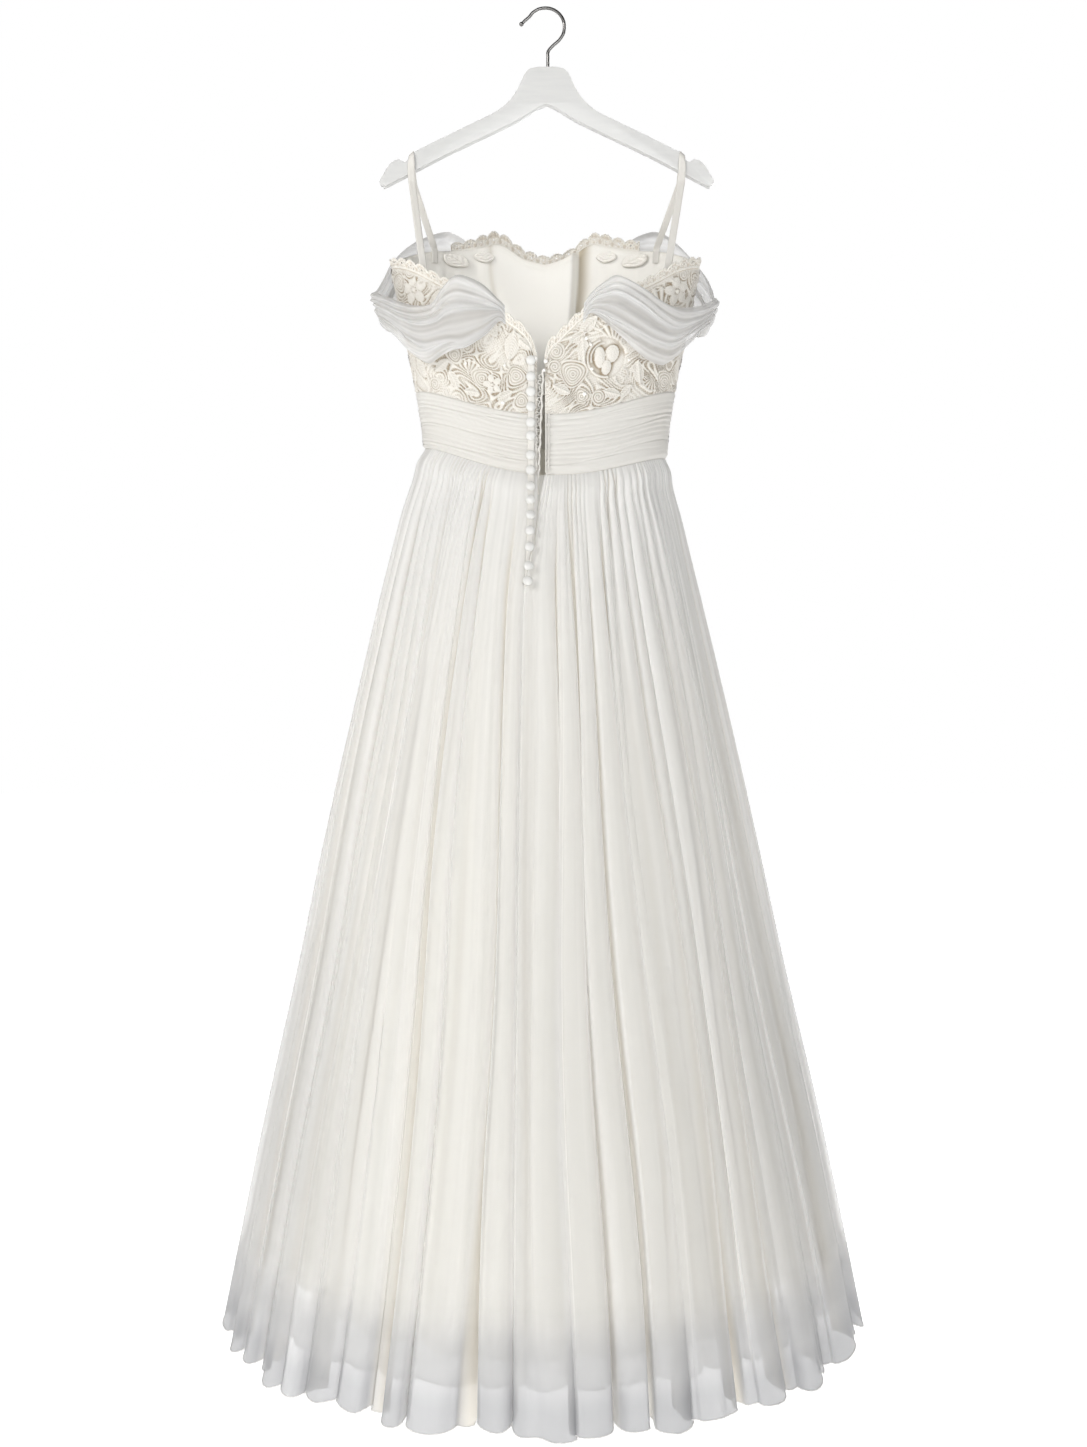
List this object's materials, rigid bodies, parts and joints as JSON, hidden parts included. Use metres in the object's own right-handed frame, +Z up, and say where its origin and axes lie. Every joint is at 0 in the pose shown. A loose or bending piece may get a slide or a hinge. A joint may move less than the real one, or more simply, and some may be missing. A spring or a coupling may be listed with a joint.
{
  "type": "wedding dress on a hanger",
  "caption": "Full-length wedding gown hung by its straps from a notched hanger: lace bodice, ruched waistband, tulle swag sleeves, full gathered tulle skirt and a buttoned back.",
  "frame": {"origin": "inner top of the hanger's hook, where a rail carries it", "axes": "+Z up, +Y from the dress's back towards its front, +X to the right for someone who looks at its back"},
  "size_m": [0.7394, 0.6584, 1.5569],
  "materials": {
    "satin": "smooth ivory satin with a soft sheen",
    "lace": "corded ivory lace over satin",
    "chiffon": "ruched ivory chiffon",
    "tulle": "fine sheer white net",
    "underskirt": "fine sheer ivory net",
    "lining": "ivory satin lining",
    "sleeve_tulle": "draped layers of pale grey-white net",
    "button_satin": "satin pulled over a dome",
    "hanger_wood": "white satin paint",
    "hook_steel": "dark polished wire"
  },
  "bodies": {
    "root": {"hanger_body": "hanger_wood", "hanger_hook": "hook_steel", "strap_left": "satin", "strap_right": "satin", "bodice_front": "lace", "bodice_side_left": "lace", "bodice_side_right": "lace", "bodice_back_left": "lace", "bodice_back_right": "lace", "bodice_lining": "satin", "lace_edge_front": "lace", "lace_edge_back_left": "lace", "lace_edge_back_right": "lace", "leaf_left": "lace", "leaf_right": "lace", "petal_left": "lace", "petal_right": "lace", "waistband_front": "chiffon", "waistband_back_left": "chiffon", "waistband_back_right": "chiffon", "skirt_front": "tulle", "skirt_back_left": "tulle", "skirt_back_right": "tulle", "skirt_underskirt": "underskirt", "skirt_lining": "lining", "sleeve_left": "sleeve_tulle", "sleeve_right": "sleeve_tulle", "button_placket": "satin", "loop_tape": "satin", "button_01": "button_satin", "button_02": "button_satin", "button_03": "button_satin", "button_04": "button_satin", "button_05": "button_satin", "button_06": "button_satin", "button_07": "button_satin", "button_08": "button_satin", "button_09": "button_satin", "button_10": "button_satin", "button_11": "button_satin", "button_12": "button_satin", "button_13": "button_satin", "button_14": "button_satin", "button_15": "button_satin"}
  },
  "joints": []
}
